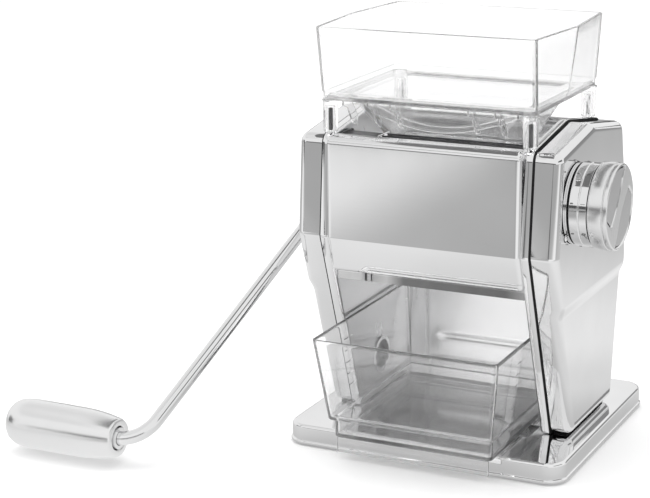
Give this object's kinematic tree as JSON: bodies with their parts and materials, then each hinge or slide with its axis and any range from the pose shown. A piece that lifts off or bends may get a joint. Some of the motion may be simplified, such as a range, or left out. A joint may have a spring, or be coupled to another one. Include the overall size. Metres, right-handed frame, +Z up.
{
  "type": "hand-cranked roller grain mill",
  "caption": "Hand-cranked roller grain mill: clear hopper on top, plated body with side covers and a gap dial, clear drawer below, crank on the left.",
  "frame": {"origin": "on the table under the centre of the base", "axes": "+X along the rollers towards the dial side (the crank is on the -X side), -Y the front where the drawer pulls out, +Z up"},
  "size_m": [0.4004, 0.2928, 0.2983],
  "materials": {
    "chrome": "bright plated sheet",
    "steel": "machined steel",
    "bronze": "plain bearing bronze",
    "satin_grip": "satin turned grip",
    "rubber": "matt black rubber",
    "clear_plastic": "clear moulded plastic"
  },
  "bodies": {
    "frame": {"base_plate": "chrome", "base_bottom": "steel", "clamp_socket": "steel", "rubber_foot_front_left": "rubber", "rubber_foot_front_right": "rubber", "rubber_foot_rear_left": "rubber", "rubber_foot_rear_right": "rubber", "base_screw_front_left": "steel", "base_screw_front_right": "steel", "base_screw_rear_left": "steel", "base_screw_rear_right": "steel", "side_plate_left": "chrome", "side_plate_right": "chrome", "plate_eyelet_left": "chrome", "plate_eyelet_right": "chrome", "drive_bush_left": "bronze", "drive_bush_right": "bronze", "feed_bush_left": "bronze", "feed_bush_right": "bronze", "cover_left": "chrome", "cover_right": "chrome", "front_panel": "chrome", "back_panel": "chrome", "front_chute": "chrome", "rear_chute": "steel", "tie_rod_front_top": "steel", "tie_rod_front_low": "steel", "tie_rod_rear_top": "steel", "tie_rod_rear_low": "steel", "tie_screw_front_top_left": "steel", "tie_screw_front_top_right": "steel", "tie_screw_front_low_left": "steel", "tie_screw_front_low_right": "steel", "tie_screw_rear_top_left": "steel", "tie_screw_rear_top_right": "steel", "tie_screw_rear_low_left": "steel", "tie_screw_rear_low_right": "steel", "dial_ring": "chrome", "crank_grommet": "steel"},
    "drive_roller": {"drive_roller": "steel", "drive_gear": "steel", "feed_drive_gear": "steel"},
    "front_carriage": {"carriage_block_left": "bronze", "carriage_block_right": "bronze", "carriage_bar": "steel", "cam_yoke": "steel"},
    "front_roller": {"front_roller": "steel", "front_gear": "steel"},
    "feed_roller": {"feed_roller": "steel", "feed_gear": "steel"},
    "crank": {"crank_rod": "chrome", "grip_collar": "chrome"},
    "grip": {"crank_grip": "satin_grip"},
    "dial_shaft": {"dial_shaft": "steel"},
    "dial_knob": {"dial_knob": "chrome", "dial_cap": "chrome", "dial_pin": "steel"},
    "hopper": {"hopper": "clear_plastic"},
    "drawer": {"drawer": "clear_plastic"}
  },
  "joints": [
    {"name": "crank_turn", "type": "hinge", "parent": "frame", "child": "drive_roller", "pos_m": [0, -0.017, 0.164], "axis": [1, 0, 0], "continuous": true},
    {"name": "crank_pull", "type": "slide", "parent": "drive_roller", "child": "crank", "axis": [-1, 0, 0], "range_m": [0, 0.03]},
    {"name": "grip_spin", "type": "hinge", "parent": "crank", "child": "grip", "pos_m": [-0.23, -0.1805, 0.02], "axis": [1, 0, 0], "continuous": true},
    {"name": "gap_slide", "type": "slide", "parent": "frame", "child": "front_carriage", "axis": [0, -1, 0], "range_m": [0, 0.0012]},
    {"name": "front_roller_turn", "type": "hinge", "parent": "front_carriage", "child": "front_roller", "pos_m": [0, -0.049, 0.185], "axis": [1, 0, 0], "continuous": true},
    {"name": "feed_roller_turn", "type": "hinge", "parent": "frame", "child": "feed_roller", "pos_m": [0, -0.0085, 0.1989], "axis": [1, 0, 0], "continuous": true},
    {"name": "dial_turn", "type": "hinge", "parent": "frame", "child": "dial_shaft", "pos_m": [0.1, -0.049, 0.185], "axis": [1, 0, 0], "range_deg": [0, 180]},
    {"name": "dial_pull", "type": "slide", "parent": "dial_shaft", "child": "dial_knob", "axis": [1, 0, 0], "range_m": [0, 0.003], "stiffness_N_per_m": 600, "springref_m": -0.003},
    {"name": "hopper_lift", "type": "slide", "parent": "frame", "child": "hopper", "axis": [0, 0, 1], "range_m": [0, 0.09]},
    {"name": "drawer_slide", "type": "slide", "parent": "frame", "child": "drawer", "axis": [0, -1, 0], "range_m": [-0.0095, 0.14]}
  ],
  "couplings": [
    {"joint": "front_roller_turn", "follows": "crank_turn", "ratio": -1},
    {"joint": "feed_roller_turn", "follows": "crank_turn", "ratio": -1.1429},
    {"joint": "dial_turn", "follows": "gap_slide", "rad_per_m": 2618}
  ]
}
